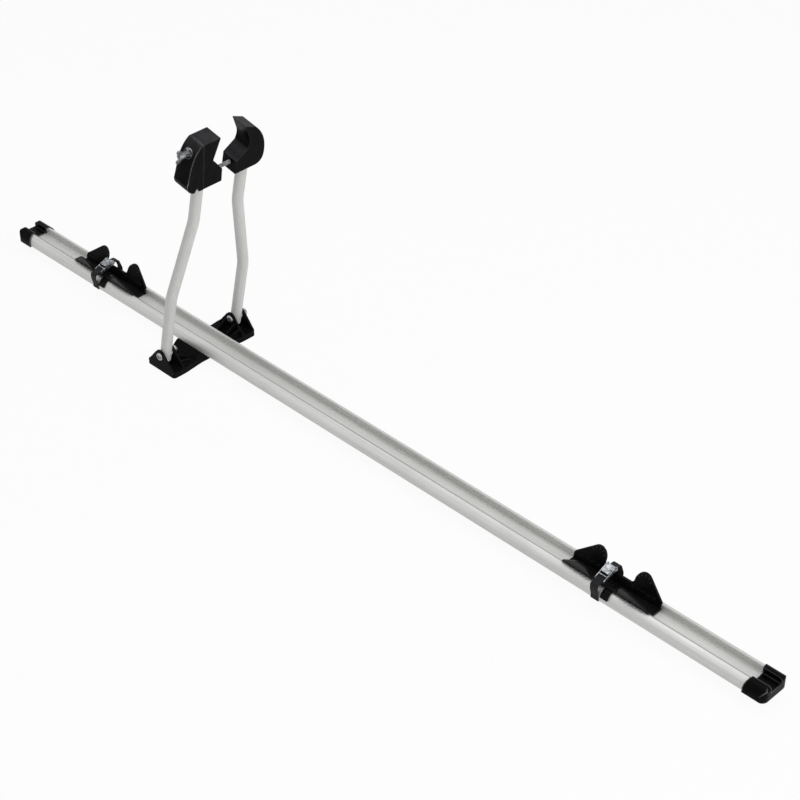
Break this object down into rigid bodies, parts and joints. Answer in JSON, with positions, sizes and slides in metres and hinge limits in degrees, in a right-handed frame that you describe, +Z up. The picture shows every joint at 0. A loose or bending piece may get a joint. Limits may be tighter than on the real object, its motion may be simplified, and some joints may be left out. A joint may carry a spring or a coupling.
{
  "type": "roof mounted bike carrier",
  "caption": "Upright roof carrier for a bicycle: a channel rail on a moulded foot, folding bent arms with a screw clamp for the frame, and sliding wheel trays with cam buckle straps.",
  "frame": {"origin": "centre of the foot's flat underside, where it rests on a roof bar", "axes": "+X along the rail towards its long end, +Y across the carrier away from the wing screw, +Z up"},
  "size_m": [1.5, 0.1752, 0.4204],
  "materials": {
    "anodised_rail": "satin anodised",
    "satin_tube": "satin anodised",
    "moulded_black": "fine moulded grain",
    "webbing": "woven",
    "nylon": "moulded",
    "zinc_plate": "bright zinc plated",
    "plated_steel": "zinc plated"
  },
  "bodies": {
    "carrier": {"rail": "anodised_rail", "end_cap_near": "moulded_black", "end_cap_far": "moulded_black", "foot": "moulded_black", "rail_bolts": "plated_steel", "rail_nuts": "plated_steel", "pivot_bolt_near": "plated_steel", "pivot_bolt_far": "plated_steel", "pivot_nut_near": "plated_steel", "pivot_nut_far": "plated_steel"},
    "arms": {"arm_near": "satin_tube", "arm_far": "satin_tube", "pivot_bush_near": "nylon", "pivot_bush_far": "nylon", "clamp_housing": "moulded_black", "far_jaw": "moulded_black", "tie_rod": "plated_steel", "rod_nuts": "plated_steel", "screw_nut": "plated_steel", "screw_washer": "plated_steel"},
    "jaw": {"clamp_jaw": "moulded_black", "retainer_plate": "plated_steel"},
    "screw": {"wing_screw": "plated_steel"},
    "tray_far": {"wheel_tray_far": "moulded_black", "strap_far": "webbing", "buckle_far": "zinc_plate", "buckle_pin_far": "zinc_plate"},
    "lever_far": {"cam_lever_far": "zinc_plate"},
    "tray_near": {"wheel_tray_near": "moulded_black", "strap_near": "webbing", "buckle_near": "zinc_plate", "buckle_pin_near": "zinc_plate"},
    "lever_near": {"cam_lever_near": "zinc_plate"}
  },
  "joints": [
    {"name": "arms_fold", "type": "hinge", "parent": "carrier", "child": "arms", "pos_m": [0, 0, 0.0263], "axis": [0, 1, 0], "range_deg": [-20, 73]},
    {"name": "jaw_close", "type": "slide", "parent": "arms", "child": "jaw", "axis": [0, 1, 0], "range_m": [0, 0.007]},
    {"name": "screw_turn", "type": "hinge", "parent": "jaw", "child": "screw", "pos_m": [0.08246, 0, 0.40134], "axis": [0, 1, 0], "range_deg": [0, 2017]},
    {"name": "tray_far_slide", "type": "slide", "parent": "carrier", "child": "tray_far", "axis": [1, 0, 0], "range_m": [-0.09, 0.15]},
    {"name": "lever_far_open", "type": "hinge", "parent": "tray_far", "child": "lever_far", "pos_m": [-0.226, 0.00637, 0.05422], "axis": [-1, 0, 0], "range_deg": [0, 45], "stiffness_Nm_per_rad": 0.02, "springref_deg": -20.05},
    {"name": "tray_near_slide", "type": "slide", "parent": "carrier", "child": "tray_near", "axis": [1, 0, 0], "range_m": [-0.3, 0.15]},
    {"name": "lever_near_open", "type": "hinge", "parent": "tray_near", "child": "lever_near", "pos_m": [0.802, 0.00637, 0.05422], "axis": [-1, 0, 0], "range_deg": [0, 45], "stiffness_Nm_per_rad": 0.02, "springref_deg": -20.05}
  ],
  "couplings": [
    {"joint": "screw_turn", "follows": "jaw_close", "rad_per_m": 5026.5}
  ]
}
